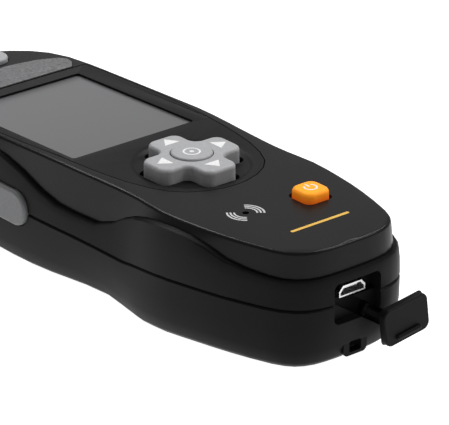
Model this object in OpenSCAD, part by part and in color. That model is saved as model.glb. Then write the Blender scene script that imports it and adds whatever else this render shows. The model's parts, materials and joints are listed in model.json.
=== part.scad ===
// Hand-held colorimeter with a sensor head, a colour display and a rubber-covered socket.
// Millimetres. X is the right-hand side, Y points from the tail to the head, Z points up.
// The rest plane is Z = 0.

/* [Body] */
// height of the flat key face above the rest plane
face_z = 32; // [31:0.5:34]
// distance from the middle of the body to the tip of the tail face
tail_y = -75.9; // [-77:0.1:-75.5]
// drop of the head face for each millimetre along the body
head_slope = 0.039; // [0.03:0.001:0.045]
// how far the grip band stands out from the rim of the face
band_out = 2.2; // [1.9:0.1:2.4]
// wall thickness of the moulded casings
wall = 2.2; // [2:0.1:2.4]
// depth of the waist between the belly and the head
waist_depth = 1.8; // [1:0.1:2.2]

/* [Display] */
// width of the visible display
display_w = 36; // [33:0.5:36]
// length of the visible display
display_l = 45.4; // [42:0.2:45.4]
// Y of the middle of the display
display_y = 24; // [23.5:0.1:24.5]

/* [Keys] */
// Y of the middle of the four-way key
nav_y = -20; // [-20.5:0.1:-19.5]
// overall span of the four-way key
nav_span = 23.4; // [22.5:0.1:24]
// width of one lobe of the four-way key
nav_lobe = 9.4; // [9:0.1:10]
// height of the four-way key above the face
nav_rise = 2.6; // [2:0.1:3]
// radius of the round centre key
enter_r = 4.9; // [4.4:0.1:5]
// side of the square power key
power_w = 7.4; // [7:0.1:7.8]
// length of the oval key on the left flank
measure_l = 24; // [22:0.5:25]
// height of the oval key on the left flank
measure_h = 8.8; // [8.4:0.1:9]
// length of the pale oval key on the head
head_key_l = 20.6; // [18:0.2:22]
// width of the pale oval key on the head
head_key_w = 7.4; // [6.8:0.1:7.6]

/* [Socket and flap] */
// width of the recess at the tail
recess_w = 13.6; // [13.4:0.1:13.8]
// height of the recess at the tail
recess_h = 9.8; // [9.6:0.1:9.9]
// clearance round the closed flap
flap_gap = 0.3; // [0.25:0.05:0.35]
// thickness of the flap plate
flap_t = 1.9; // [1.6:0.1:1.9]
// angle through which the strap has swung from closed to open
flap_open = 143; // [138:1:144]

/* [Sensor] */
// radius of the measuring aperture
aperture_r = 4; // [3:0.5:5]
// Y of the optical axis in the head
sensor_y = 50; // [48:0.5:52]

/* [Hidden] */
$fn = 40;

// gap between the rim of the cover and the grip band
seat_gap = 0.12;

// Half outline of the flat face, from the tip of the tail to the tip of the head.
face_half = [[0, tail_y], [4, tail_y], [7, -75.7], [9.6, -75.3], [12, -74.4], [14, -73],
  [15.6, -71], [17, -68], [18.7, -62.3], [20, -57], [21, -52], [21.7, -47], [22.3, -42],
  [22.6, -37], [22.3, -32], [22, -28], [21.9, -24], [22, -20], [22.3, -14], [22.8, -6],
  [23.1, 0], [23.3, 6], [23.3, 13], [23.3, 20], [23.3, 27], [23.3, 34], [23.3, 42],
  [23.2, 48], [22.6, 56], [21, 61.8], [18.2, 66.4], [14.4, 70.2], [9.8, 73.2], [5, 75],
  [0, 75.6]];
half_n = len(face_half);
ring_n = 2 * half_n - 2;

// Heights along the body: bottom edge of the cover, joint line of the casings, underside.
band_heights = [[-80, 25.8], [-71, 25.8], [-66, 26], [-61.4, 26.4], [-57.6, 26.9],
  [-54.9, 28], [-50.9, 29.2], [-46.6, 29.9], [-41, 30.1], [-34.7, 29.6], [-30.5, 28.6],
  [-27, 27.4], [-23.6, 25.8], [-19.7, 23.5], [-17.2, 22.3], [-14.7, 21.7], [-11.6, 21.5],
  [-7, 21.5], [-2, 21.7], [1, 21.9], [4, 22.4], [6.7, 23.6], [9.8, 24.7], [13, 25.8],
  [17, 27], [21, 27.8], [26, 28.4], [32, 28.6], [40, 28.3], [80, 26.7]];
seam_heights = [[-80, 18.7], [-70, 18.8], [-62, 18.5], [-52, 18.1], [-45, 17.7],
  [-36.6, 17.1], [-31.6, 16.5], [-24, 15.6], [-18, 15.7], [-9, 16.1], [80, 16.1]];
belly_heights = [[-80, 3.4], [-71, 3.1], [-60, 2.7], [-50, 2.3], [-42, 1.7], [-35, 1],
  [-29, 0.4], [-25, 0.3], [-20, 0.4], [-14, 1.2], [-8, 1.4], [0, 1.1], [8, 0.7],
  [16, 0.5], [24, 0.5], [30, 0.6], [80, 0.6]];
// Inward pull of the lower wall between the belly and the head, and the finger swell.
waist_pull = [[-80, 0], [-27, 0], [-22, -0.6], [-16, -1], [-8, -0.85], [2, -0.5],
  [10, -0.2], [16, 0], [80, 0]];
finger_swell = [[-80, 0], [-60, 0], [-50, 0.8], [-42, 1], [-34, 0.7], [-26, 0], [80, 0]];

function band_z(y) = lookup(y, band_heights);
function seam_z(y) = lookup(y, seam_heights);
function belly_z(y) = lookup(y, belly_heights);
function top_z(y) = face_z - head_slope * max(0, y - 3);
function mix(a, b, t) = a + (b - a) * t;

face_ring = [for (i = [0 : ring_n - 1])
  i < half_n ? face_half[i] : [-face_half[ring_n - i][0], face_half[ring_n - i][1]]];
function edge_dir(i) =
  let (a = face_ring[(i + ring_n - 1) % ring_n], b = face_ring[(i + 1) % ring_n], d = b - a)
  d / norm(d);
face_normal = [for (i = [0 : ring_n - 1]) [edge_dir(i)[1], -edge_dir(i)[0]]];

// One ring of the loft: the face outline moved out by a distance that may vary along Y.
function ring(out, height) = [for (i = [0 : ring_n - 1])
  let (p = face_ring[i], q = p + face_normal[i] * out(p[1])) [q[0], q[1], height(p[1])]];
function flat_ring(out, height) = ring(function(y) out, height);

// Solid through a stack of rings, bottom ring first. Its ends are strips across X.
module loft(rings) {
  levels = len(rings);
  walls = [for (k = [0 : levels - 2], i = [0 : ring_n - 1])
    let (j = (i + 1) % ring_n, a = k * ring_n, b = a + ring_n)
    each [[a + i, b + j, a + j], [a + i, b + i, b + j]]];
  top = (levels - 1) * ring_n;
  strips = [for (i = [0 : half_n - 2])
    let (l = (ring_n - i) % ring_n, m = ring_n - i - 1)
    each (i == 0 ? [[0, 1, m], [top, top + m, top + 1]]
      : i == half_n - 2 ? [[i, i + 1, l], [top + i, top + l, top + i + 1]]
      : [[i, i + 1, m, l], [top + i, top + l, top + m, top + i + 1]])];
  polyhedron(concat([for (r = rings) each r]), concat(walls, strips), convexity = 6);
}

// Slab that follows the sloping face, between two depths below it.
module face_slab(y0, y1, deep, shallow, half_w = 30) {
  ys = [for (y = [y0, 3, y1]) if (y >= y0 && y <= y1) y];
  profile = concat([for (y = ys) [y, top_z(y) - shallow]],
    [for (k = [len(ys) - 1 : -1 : 0]) [ys[k], top_z(ys[k]) - deep]]);
  rotate([90, 0, 90])
    translate([0, 0, -half_w])
      linear_extrude(2 * half_w)
        polygon(profile);
}

module rounded_box(w, l, r) {
  for (sx = [-1, 1], sy = [-1, 1])
    translate([sx * (w / 2 - r), sy * (l / 2 - r)])
      circle(r, $fn = 32);
  square([w - 2 * r, l], center = true);
  square([w, l - 2 * r], center = true);
}

module oval(length, width) {
  square([length - width, width], center = true);
  for (s = [-1, 1])
    translate([s * (length - width) / 2, 0])
      circle(width / 2);
}

// Casings

module cover_skin() {
  loft([
    flat_ring(0.6, function(y) band_z(y) + seat_gap),
    flat_ring(0.05, function(y) top_z(y) - 0.75),
    flat_ring(-0.2, function(y) top_z(y) - 0.25),
    flat_ring(-0.75, function(y) top_z(y))]);
}

module cover_cavity() {
  loft([
    flat_ring(-1.5, function(y) 15),
    flat_ring(-wall, function(y) top_z(y) - 5.4),
    flat_ring(-wall - 0.6, function(y) top_z(y) - 3.2)]);
}

panel_half = [[0, -35.9], [3, -35.7], [7.4, -34.4], [11.2, -32.2], [14, -29.3],
  [16.3, -24.8], [18.1, -19], [19.3, -12.5], [20, -7], [20.6, 0], [21.2, 8], [21.7, 16],
  [21.9, 26], [21.9, 40], [21.6, 48.6]];
plate_half = [[18.2, 49.2], [20.2, 52.2], [20.6, 54.6], [19.4, 56.6], [14.5, 59], [8, 60.3],
  [0, 60.8]];
module mirrored_outline(half) {
  polygon(concat(half, [for (k = [len(half) - 1 : -1 : 0]) [-half[k][0], half[k][1]]]));
}

module panel_outline() {
  mirrored_outline(panel_half);
}

module plate_outline() {
  mirrored_outline(plate_half);
}

module key_face(z0, z1) {
  translate([0, 0, z0])
    linear_extrude(z1 - z0)
      children();
}

module nav_outline(grow) {
  reach = nav_span + 2 * grow;
  lobe = nav_lobe + 2 * grow;
  rounded_box(reach, lobe, 2);
  rounded_box(lobe, reach, 2);
  difference() {
    rounded_box(lobe + 3.4, lobe + 3.4, 0.4);
    for (sx = [-1, 1], sy = [-1, 1])
      translate([sx * (lobe / 2 + 1.7), sy * (lobe / 2 + 1.7)])
        circle(1.7);
  }
}

post_places = [[15.5, -61], [-15.5, -61], [18.2, -36], [-18.2, -36], [18.2, -3.4],
  [-18.2, -3.4], [14.5, 62.5], [-14.5, 62.5]];
post_r = 2.3;
screw_r = 1;

module cover_posts() {
  for (p = post_places)
    translate([p[0], p[1], 21])
      cylinder(h = top_z(p[1]) - 1.8 - 21, r = post_r);
}

module top_cover() {
  color([0.10, 0.10, 0.105])
    difference() {
      union() {
        difference() {
          cover_skin();
          cover_cavity();
        }
        cover_posts();
      }
      cover_openings();
    }
}

module cover_openings() {
  // pocket for the inlaid panel and the textured plate
  intersection() {
    face_slab(-38, 61.5, 1.6, -2);
    linear_extrude(40)
      union() {
        offset(delta = 0.25)
          panel_outline();
        offset(delta = 0.15)
          plate_outline();
      }
  }
  // window and keys
  translate([0, display_y, 20])
    linear_extrude(14)
      rounded_box(display_w + 2.9, display_l + 2.9, 1.2);
  translate([0, nav_y, 20])
    linear_extrude(14)
      nav_outline(0.55);
  translate([power_x, power_y, 20])
    linear_extrude(14)
      rounded_box(power_w + 0.6, power_w + 0.6, 1.9);
  translate([0, head_key_y, 20])
    linear_extrude(14)
      oval(head_key_l + 0.6, head_key_w + 0.6);
  translate([buzzer_x, buzzer_y, 20])
    cylinder(h = 14, r = 0.8);
  for (p = post_places)
    translate([p[0], p[1], 20])
      cylinder(h = 6.5, r = screw_r);
}

module band_skin() {
  loft([
    flat_ring(band_out - 0.35, function(y) seam_z(y) + 0.06),
    flat_ring(band_out, function(y) seam_z(y) + 0.45),
    ring(function(y) band_out - 0.1 + 0.6 * lookup(y, finger_swell),
      function(y) mix(seam_z(y), band_z(y), 0.62)),
    ring(function(y) band_out - 0.35 + 0.3 * lookup(y, finger_swell),
      function(y) band_z(y) - 0.5),
    flat_ring(band_out - 0.75, function(y) band_z(y))]);
}

module grip_band() {
  color([0.09, 0.09, 0.095])
    difference() {
      union() {
        difference() {
          band_skin();
          loft([
            flat_ring(-0.6, function(y) seam_z(y) - 1),
            flat_ring(-0.6, function(y) band_z(y) + 1)]);
        }
        intersection() {
          band_skin();
          recess_block();
        }
      }
      side_openings();
    }
}

// Solid behind the recess, shared between the band and the lower casing.
module recess_block() {
  translate([-8.4, -79, 10.5])
    cube([16.8, 79 + recess_floor + 1.8, 14.6]);
}

module bottom_shell() {
  color([0.085, 0.085, 0.09])
    difference() {
      union() {
        lanyard_boss();
        difference() {
          shell_skin();
          shell_cavity();
        }
        intersection() {
          shell_skin();
          union() {
            shell_posts();
            sensor_boss();
            lanyard_block();
            recess_block();
            door_ledge();
          }
        }
      }
      side_openings();
      door_opening(0.2);
      translate([0, sensor_y, -1])
        cylinder(h = 4, r = 9.1);
      translate([0, sensor_y, -1])
        cylinder(h = 12, r = 6.6);
      lanyard_passage();
      for (p = post_places)
        translate([p[0], p[1], -1]) {
          cylinder(h = 30, r = screw_r + 0.15);
          cylinder(h = screw_seat(p[1]) + 1, r = 2.1);
        }
      for (p = door_screw_places)
        translate([p[0], p[1], 2])
          cylinder(h = 8, r = 0.8);
    }
}

function screw_seat(y) = belly_z(y) + 3;

module shell_skin() {
  pull = function(y) waist_depth * lookup(y, waist_pull);
  level = function(t) function(y) mix(seam_z(y), belly_z(y), t);
  loft([
    ring(function(y) -3.4 + pull(y), level(1)),
    ring(function(y) -1.1 + pull(y), level(0.955)),
    ring(function(y) 0.5 + pull(y), level(0.86)),
    ring(function(y) 1.5 + pull(y), level(0.66)),
    ring(function(y) band_out - 0.1 + 0.4 * pull(y), level(0.34)),
    flat_ring(band_out, function(y) seam_z(y) - 0.45),
    flat_ring(band_out - 0.35, function(y) seam_z(y) - 0.06)]);
}

module shell_cavity() {
  pull = function(y) waist_depth * lookup(y, waist_pull);
  loft([
    ring(function(y) -5 + pull(y), function(y) belly_z(y) + wall),
    ring(function(y) -2.6 + pull(y), function(y) belly_z(y) + wall + 1.3),
    ring(function(y) -1 + pull(y), function(y) mix(seam_z(y), belly_z(y), 0.6)),
    ring(function(y) -0.6 + 0.3 * pull(y), function(y) mix(seam_z(y), belly_z(y), 0.3)),
    flat_ring(-0.6, function(y) seam_z(y) + 1)]);
}

module shell_posts() {
  for (p = post_places)
    translate([p[0], p[1], 0])
      cylinder(h = board_z - 0.1, r = post_r + 0.6);
}

// Keys and the opening in the flank for the oval key.
power_x = 8.7;
power_y = -51.7;
head_key_y = 66.6;
buzzer_x = -8.5;
buzzer_y = -49.5;
measure_y = 21.8;
measure_z = 16.5;
flank_x = 23.3 + band_out;
key_board_z = 24.4;
key_board_t = 0.8;
dome_h = 0.4;
dome_top = key_board_z + key_board_t + dome_h;
nav_dome = 9.6;

module flank_oval(grow, x0, x1) {
  translate([x0, measure_y, measure_z])
    rotate([90, 0, 90])
      linear_extrude(x1 - x0)
        oval(measure_l + 2 * grow, measure_h + 2 * grow);
}

module side_openings() {
  flank_oval(0.3, -30, -18);
  recess_cut();
}

module nav_key() {
  top = face_z + nav_rise;
  color([0.62, 0.63, 0.64])
    difference() {
      translate([0, nav_y, 0]) {
        key_face(27.2, top - 0.6)
          nav_outline(0);
        key_face(top - 0.65, top - 0.25)
          nav_outline(-0.22);
        key_face(top - 0.3, top)
          nav_outline(-0.6);
        key_face(27.2, 27.9)
          nav_outline(1.3);
        for (a = [0 : 90 : 270])
          rotate(a)
            translate([nav_dome, 0, dome_top + 0.5])
              cylinder(h = 26.9 - dome_top, r = 1);
      }
      translate([0, nav_y, 20])
        cylinder(h = 20, r = enter_r + 0.2);
    }
}

module nav_web() {
  color([0.30, 0.30, 0.31])
    translate([0, nav_y, 26.1])
      difference() {
        cylinder(h = 0.7, r = 7.8);
        translate([0, 0, -1])
          cylinder(h = 3, r = 6.2);
      }
}

module enter_key() {
  color([0.66, 0.67, 0.68])
    translate([0, nav_y, 0]) {
      translate([0, 0, 27.4])
        cylinder(h = face_z + nav_rise + 0.2 - 27.4, r = enter_r);
      translate([0, 0, face_z + nav_rise + 0.15])
        cylinder(h = 0.3, r1 = enter_r, r2 = enter_r - 0.35);
      translate([0, 0, dome_top + 0.6])
        cylinder(h = 27.5 - dome_top - 0.6, r = 1.2);
    }
}

module power_key() {
  color([0.97, 0.55, 0.10])
    translate([power_x, power_y, 0]) {
      key_face(27.3, face_z + 1.5)
        rounded_box(power_w, power_w, 1.6);
      key_face(face_z + 1.45, face_z + 1.9)
        rounded_box(power_w - 0.5, power_w - 0.5, 1.5);
      key_face(face_z + 1.85, face_z + 2.2)
        rounded_box(power_w - 1.3, power_w - 1.3, 1.3);
      key_face(27.3, 28)
        rounded_box(power_w + 2, power_w + 2, 2.2);
      translate([0, 0, dome_top + 0.7])
        cylinder(h = 27.4 - dome_top - 0.7, r = 1.2);
    }
}

module head_key() {
  base = top_z(head_key_y);
  color([0.64, 0.65, 0.66])
    translate([0, head_key_y, 0]) {
      key_face(24.9, base + 0.6)
        oval(head_key_l, head_key_w);
      key_face(base + 0.55, base + 1)
        oval(head_key_l - 0.7, head_key_w - 0.7);
      key_face(base + 0.95, base + 1.25)
        oval(head_key_l - 1.9, head_key_w - 1.9);
      key_face(24.9, 25.5)
        intersection() {
          oval(head_key_l + 1.8, head_key_w + 1.8);
          square([40, head_key_w + 1.8], center = true);
        }
      for (s = [-1, 1])
        translate([7 * s, 0, head_board_z + 1.9])
          cylinder(h = 25 - head_board_z - 1.9, r = 1.1);
    }
}
head_board_z = 21.8;

module measure_key() {
  color([0.40, 0.41, 0.42]) {
    flank_oval(0, -flank_x - 0.5, -21.5);
    flank_oval(-0.35, -flank_x - 0.85, -flank_x - 0.45);
    flank_oval(-0.9, -flank_x - 1.05, -flank_x - 0.8);
    intersection() {
      flank_oval(1, -21.9, -21.3);
      translate([-30, 0, measure_z - 5.4])
        cube([30, 40, 10.8]);
    }
    translate([-21.5, measure_y, measure_z])
      rotate([0, 90, 0])
        cylinder(h = 1.2, r = 1.6);
  }
}

// Panel and display

module bezel_panel() {
  color([0.07, 0.07, 0.075])
    difference() {
      intersection() {
        face_slab(-37, 48.5, 1.55, 0);
        linear_extrude(40)
          panel_outline();
      }
      // opening with sloping flanks round the display
      bevel_cut();
      translate([0, display_y, 20])
        linear_extrude(14)
          rounded_box(display_w, display_l, 0.8);
      translate([0, nav_y, 20])
        linear_extrude(14)
          nav_outline(0.55);
      nav_dish();
    }
}

// The key face bends down at Y 3, so the cut has corners there too.
module bevel_cut() {
  x1 = display_w / 2;
  y0 = display_y - display_l / 2;
  y1 = display_y + display_l / 2;
  side = 2.5;
  tiny = 0.01;
  hull()
    for (s = [-1, 1]) {
      for (y = [y0, 3, y1])
        translate([s * x1, y, top_z(y) - 1])
          cube(tiny, center = true);
      for (y = [y0 - 3.2, 3, y1 + 1.5])
        translate([s * (x1 + side), y, top_z(y) + 0.05])
          cube(tiny, center = true);
    }
}

module nav_dish() {
  translate([0, nav_y, face_z - 0.9])
    cylinder(h = 1.1, r1 = nav_span / 2 + 1.2, r2 = nav_span / 2 + 3.2, $fn = 64);
}

module accent_plate() {
  color([0.42, 0.42, 0.43])
    intersection() {
      face_slab(49.2, 61, 1.55, -0.15);
      linear_extrude(40)
        plate_outline();
    }
}

module display_window() {
  color([0.35, 0.36, 0.37])
    intersection() {
      face_slab(display_y - 30, display_y + 30, 2.7, 1.65);
      translate([0, display_y, 0])
        linear_extrude(40)
          rounded_box(display_w + 2.4, display_l + 2.4, 1);
    }
}

module display_gasket() {
  color([0.05, 0.05, 0.05])
    difference() {
      intersection() {
        face_slab(display_y - 30, display_y + 30, 3.4, 2.75);
        translate([0, display_y, 0])
          linear_extrude(40)
            rounded_box(display_w + 2.4, display_l + 2.4, 1);
      }
      translate([0, display_y, 20])
        linear_extrude(14)
          rounded_box(display_w + 0.4, display_l + 0.4, 0.6);
    }
}

module display_module() {
  color([0.75, 0.76, 0.78])
    intersection() {
      face_slab(display_y - 26, display_y + 26, 6, 3.45);
      translate([0, display_y, 0])
        linear_extrude(40)
          rounded_box(display_w + 2.4, display_l + 2, 0.8);
    }
}

module display_flex() {
  low = board_z + board_t + 0.1;
  color([0.75, 0.45, 0.12])
    translate([-6, 0, 0])
      rotate([90, 0, 90])
        linear_extrude(12)
          polygon([[-0.6, low], [-0.6, 25.2], [-0.2, 25.5], [3.6, 25.5], [3.6, 25.8],
            [-0.4, 25.8], [-0.9, 25.3], [-0.9, low + 0.3], [-5, low + 0.3], [-5, low]]);
}

// Boards and the pieces on them

board_z = 17;
board_t = 1.2;

module board_outline() {
  polygon([[-13, -72], [13, -72], [14.8, -66], [20, -46], [20.2, -8], [19.6, 0],
    [20.4, 8], [20.4, 36], [-16, 36], [-16, 8], [-19.6, 0], [-20.2, -8], [-20, -46],
    [-14.8, -66]]);
}

module main_board() {
  color([0.06, 0.30, 0.16])
    difference() {
      translate([0, 0, board_z])
        linear_extrude(board_t)
          board_outline();
      for (p = post_places)
        translate([p[0], p[1], 10])
          cylinder(h = 12, r = 1.3);
      // notch that lets the socket sit low at the tail
      translate([-20, -80, 10])
        cube([40, 8.4, 12]);
    }
  color([0.12, 0.12, 0.13])
    translate([0, 0, board_z + board_t]) {
      translate([-6, -34, 0])
        cube([9, 9, 1]);
      translate([6, 12, 0])
        cube([7, 5, 1]);
      translate([-12, 20, 0])
        cube([6, 10, 1.4]);
    }
}

module board_pillars() {
  color([0.70, 0.62, 0.30])
    for (p = pillar_places)
      translate([p[0], p[1], board_z + board_t])
        cylinder(h = key_board_z - board_z - board_t, r = 1.6, $fn = 24);
}
pillar_places = [[11.5, -7], [-11.5, -7], [10.5, -58], [-10.5, -58]];

module key_board() {
  color([0.05, 0.27, 0.15]) {
    translate([0, 0, key_board_z])
      linear_extrude(key_board_t)
        polygon([[-14.5, -4], [14.5, -4], [14.5, -56], [12, -61], [-12, -61], [-14.5, -56]]);
    translate([-11.4, head_key_y - 3.4, head_board_z])
      cube([22.8, 6.4, 1]);
    for (s = [-1, 1])
      translate([9.6 * s, head_key_y, 10])
        cylinder(h = head_board_z - 10 + 0.1, r = 1.5, $fn = 24);
  }
}

module dome_switches() {
  color([0.78, 0.78, 0.76]) {
    for (p = [[0, nav_y], [nav_dome, nav_y], [-nav_dome, nav_y], [0, nav_y + nav_dome],
      [0, nav_y - nav_dome], [power_x, power_y]])
      translate([p[0], p[1], key_board_z + key_board_t])
        cylinder(h = dome_h, r1 = 2, r2 = 1.4, $fn = 24);
    for (s = [-1, 1])
      translate([7 * s, head_key_y, head_board_z + 1])
        cylinder(h = dome_h, r1 = 2, r2 = 1.4, $fn = 24);
  }
}

module buzzer() {
  color([0.08, 0.08, 0.09])
    translate([buzzer_x, buzzer_y, key_board_z + key_board_t])
      difference() {
        cylinder(h = 3, r = 4.4);
        translate([0, 0, 2])
          cylinder(h = 2, r = 0.8);
      }
}

module measure_switch() {
  color([0.15, 0.15, 0.16]) {
    translate([-19.2, measure_y - 3, measure_z - 3])
      cube([3, 6, 6]);
    translate([-19.4, measure_y, measure_z])
      rotate([0, 90, 0])
        cylinder(h = 1, r = 1.4, $fn = 24);
  }
}

// Micro-USB socket, its recess, and the flap that closes it.

socket_z = 20.5;
socket_w = 7.6;
socket_h = 2.6;
socket_front = -76;
recess_z = 18.8;
recess_floor = -74.4;
tail_face = tail_y - band_out;
swing_dir = [0.829, 0, -0.56];
swing_axis = [0.56, 0, 0.829];
strap_l = 7.3;
strap_root = [4.2, -75.35, 13.9];
strap_tip = strap_root - strap_l * swing_dir;
// the flap turns about a slightly leaning axis, so that it stands askew when open
tip_axis = [0.6127, 0.0219, 0.79];
pivot_pin_r = 0.4;
barrel_r = 0.7;

module socket_outline(grow) {
  w = socket_w / 2 + grow;
  h = socket_h / 2 + grow;
  polygon([[-w, -h], [w, -h], [w, h - 1.2], [w - 1.1, h], [-w + 1.1, h], [-w, h - 1.2]]);
}

module along_y(y0, y1, z) {
  translate([0, y1, z])
    rotate([90, 0, 0])
      linear_extrude(y1 - y0)
        children();
}

module usb_socket() {
  color([0.78, 0.79, 0.80]) {
    difference() {
      along_y(socket_front, -70.8, socket_z)
        socket_outline(0);
      along_y(socket_front - 1, -71.2, socket_z)
        socket_outline(-0.35);
    }
    along_y(-75, -71, socket_z + 0.35)
      square([4.6, 0.6], center = true);
    for (s = [-1, 1])
      translate([s * 3.2 - 0.4, -72, board_z + board_t])
        cube([0.8, 1.2, 2]);
    translate([-3.8, -71.6, board_z + board_t + 0.05])
      cube([7.6, 1.4, 1.6]);
  }
}

module recess_outline(grow) {
  rounded_box(recess_w + 2 * grow, recess_h + 2 * grow, 1.5 + grow);
}

// Shelf below the socket. The diagonal slot through it holds the strap.
shelf_front = -75.9;
shelf_top = 18.6;

module recess_cut() {
  difference() {
    along_y(-90, recess_floor, recess_z)
      recess_outline(0);
    translate([-8, shelf_front, 10])
      cube([16, 4, shelf_top - 10]);
  }
  in_swing_plane(strap_root)
    translate([-10, -0.95, -1.75])
      cube([11.1, 9, 3.5]);
  // pocket for the root of the strap and the path that it swings through
  in_swing_plane(strap_root)
    translate([0, 0, -1.75])
      linear_extrude(3.5)
        polygon([[-1.2, -0.95], [0.75, -0.95], [8.1, 4.5], [8.1, 9], [-1.2, 9]]);
  along_y(-80, -60, socket_z)
    square([socket_w + 0.6, socket_h + 0.6], center = true);
  in_swing_plane(strap_root)
    translate([-0.95, -1.5, -1.6])
      cube([1.9, 0.7, 3.2]);
  translate([strap_root[0], -70, strap_root[2]])
    rotate([90, 0, 0])
      cylinder(h = 5, r = 1.25);
}

// Puts +X along the swing direction, +Y out of the tail and +Z along the swing axis.
module in_swing_plane(place) {
  tilt = atan2(swing_dir[2], swing_dir[0]);
  translate(place)
    rotate([0, -tilt, 0])
      rotate([180, 0, 0])
        children();
}

module about(place, axis, angle) {
  translate(place)
    rotate(angle, axis)
      translate(-place)
        children();
}

// Same frame for the far end of the strap, leaned onto the flap's own axis.
module in_tip_frame() {
  lean = cross(swing_axis, tip_axis);
  translate(strap_tip)
    rotate(asin(norm(lean) / norm(swing_axis) / norm(tip_axis)), lean)
      in_swing_plane([0, 0, 0])
        children();
}

module strap_closed() {
  difference() {
    union() {
      in_swing_plane(strap_root) {
        translate([0, 0, -0.7])
          cylinder(h = 1.4, r = barrel_r);
        translate([-strap_l, -0.45, -0.65])
          cube([strap_l, 0.9, 1.3]);
      }
      in_tip_frame()
        translate([0, 0, -0.7])
          cylinder(h = 1.4, r = barrel_r);
    }
    in_swing_plane(strap_root)
      translate([0, 0, -2])
        cylinder(h = 4, r = pivot_pin_r + 0.06);
    in_tip_frame()
      translate([0, 0, -2])
        cylinder(h = 4, r = pivot_pin_r + 0.06);
  }
}

module flap_strap() {
  color([0.07, 0.07, 0.07])
    about(strap_root, swing_axis, flap_open)
      strap_closed();
}

module flap_closed() {
  w = recess_w - 2 * flap_gap;
  h = recess_h - 2 * flap_gap;
  back = tail_face + flap_t;
  along_y(tail_face + 0.35, back, recess_z)
    rounded_box(w, h, 1.3);
  along_y(tail_face, tail_face + 0.4, recess_z)
    rounded_box(w - 0.7, h - 0.7, 1.1);
  // pull ridge near the lower edge
  translate([-3.6, tail_face - 0.1, recess_z - h / 2 + 1.7])
    rotate([0, 90, 0])
      cylinder(h = 7.2, r = 0.6, $fn = 24);
  // lugs on the back, cut flat on top to pass below the socket
  difference() {
    in_tip_frame() {
      for (s = [-1, 1])
        translate([0, 0, s * 1.1 - 0.25])
          linear_extrude(0.5)
            union() {
              circle(0.65, $fn = 24);
              translate([-0.65, 0])
                square([1.3, 1.3]);
            }
      translate([0, 0, -1.2])
        cylinder(h = 2.4, r = pivot_pin_r, $fn = 24);
    }
    translate([-6, tail_face + 1.6, 19.02])
      cube([10, 6, 3]);
  }
}

module usb_flap() {
  color([0.08, 0.08, 0.08])
    about(strap_root, swing_axis, flap_open)
      about(strap_tip, tip_axis, -flap_open)
        flap_closed();
}

module strap_anchor() {
  color([0.07, 0.07, 0.07]) {
    in_swing_plane(strap_root) {
      for (s = [-1, 1])
        translate([0, 0, s * 1.15 - 0.3])
          linear_extrude(0.6)
            union() {
              circle(0.65, $fn = 24);
              translate([-0.65, -1])
                square([1.3, 1]);
            }
      translate([0, 0, -1.3])
        cylinder(h = 2.6, r = pivot_pin_r, $fn = 24);
      translate([-0.85, -1.4, -1.5])
        cube([1.7, 0.55, 3]);
    }
    translate([strap_root[0], -71, strap_root[2]])
      rotate([90, 0, 0])
        cylinder(h = 3.2, r = 1.2);
    translate([strap_root[0], -71.6, strap_root[2]])
      rotate([90, 0, 0])
        cylinder(h = 0.6, r = 1.2);
  }
}

// Battery and its door

door_screw_places = [[12.5, -26], [-12.5, -26]];

module door_opening(grow) {
  translate([-16 - grow, -57.2 - grow, -1])
    cube([32 + 2 * grow, 28.2 + 2 * grow, 12]);
  translate([-16 - grow, -57.2 - grow, -1])
    cube([32 + 2 * grow, 34.2 + 2 * grow, ledge_z + 0.8 + grow]);
}
ledge_z = 3.6;

// Cross bar of the lower casing that takes the door's screws.
module door_ledge() {
  translate([-22, -29.2, ledge_z])
    cube([44, 6.6, 4.2]);
}

module battery_door() {
  color([0.085, 0.085, 0.09])
    difference() {
      intersection() {
        shell_skin();
        door_opening(0);
        translate([-30, -80, 0])
          rotate([90, 0, 90])
            linear_extrude(60)
              polygon([[0, 0], [60, 0], [60, 3.4], [49, 3.4], [44, 4.2], [0, 6.6]]);
      }
      for (p = door_screw_places)
        translate([p[0], p[1], -1]) {
          cylinder(h = 12, r = 0.9);
          cylinder(h = belly_z(p[1]) + 3, r = 1.7);
        }
    }
}

module door_screws() {
  color([0.55, 0.56, 0.58])
    for (p = door_screw_places)
      translate([p[0], p[1], belly_z(p[1]) + 0.9])
        screw(1.5, 0.75, 6, 0.5);
}

module case_screws() {
  color([0.55, 0.56, 0.58])
    for (p = post_places)
      translate([p[0], p[1], screw_seat(p[1]) - 1.2])
        screw(1.9, screw_r - 0.05, 24.5 - screw_seat(p[1]) + 1.2, 0.7);
}

// Screw with its head down, its cross recess underneath and its shank up.
module screw(head_r, shank_r, length, recess) {
  difference() {
    union() {
      cylinder(h = 1.1, r = head_r, $fn = 28);
      cylinder(h = length, r = shank_r, $fn = 24);
    }
    for (a = [0, 90])
      rotate(a)
        translate([-head_r * 0.6, -0.2, -0.1])
          cube([head_r * 1.2, 0.4, recess]);
  }
}

battery_y = -42.8;
battery_l = 26.6;

module battery_pack() {
  color([0.30, 0.45, 0.62])
    translate([0, battery_y, 7.4])
      linear_extrude(7.5)
        rounded_box(29, battery_l, 1.5);
}

module battery_lead() {
  front = battery_y + battery_l / 2;
  color([0.75, 0.10, 0.08])
    translate([-10, front + 1.6, 0]) {
      translate([0, 0, 11.5])
        cylinder(h = board_z - 11.6, r = 0.6, $fn = 16);
      translate([0, -1.5, 12])
        rotate([-90, 0, 0])
          cylinder(h = 1.6, r = 0.6, $fn = 16);
    }
  color([0.9, 0.9, 0.88])
    translate([-13, front, board_z + board_t + 0.05])
      cube([6, 4.5, 2.6]);
}

// Optics in the head

module sensor_boss() {
  translate([0, sensor_y, 0])
    cylinder(h = 8, r = 10.8);
}

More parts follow.
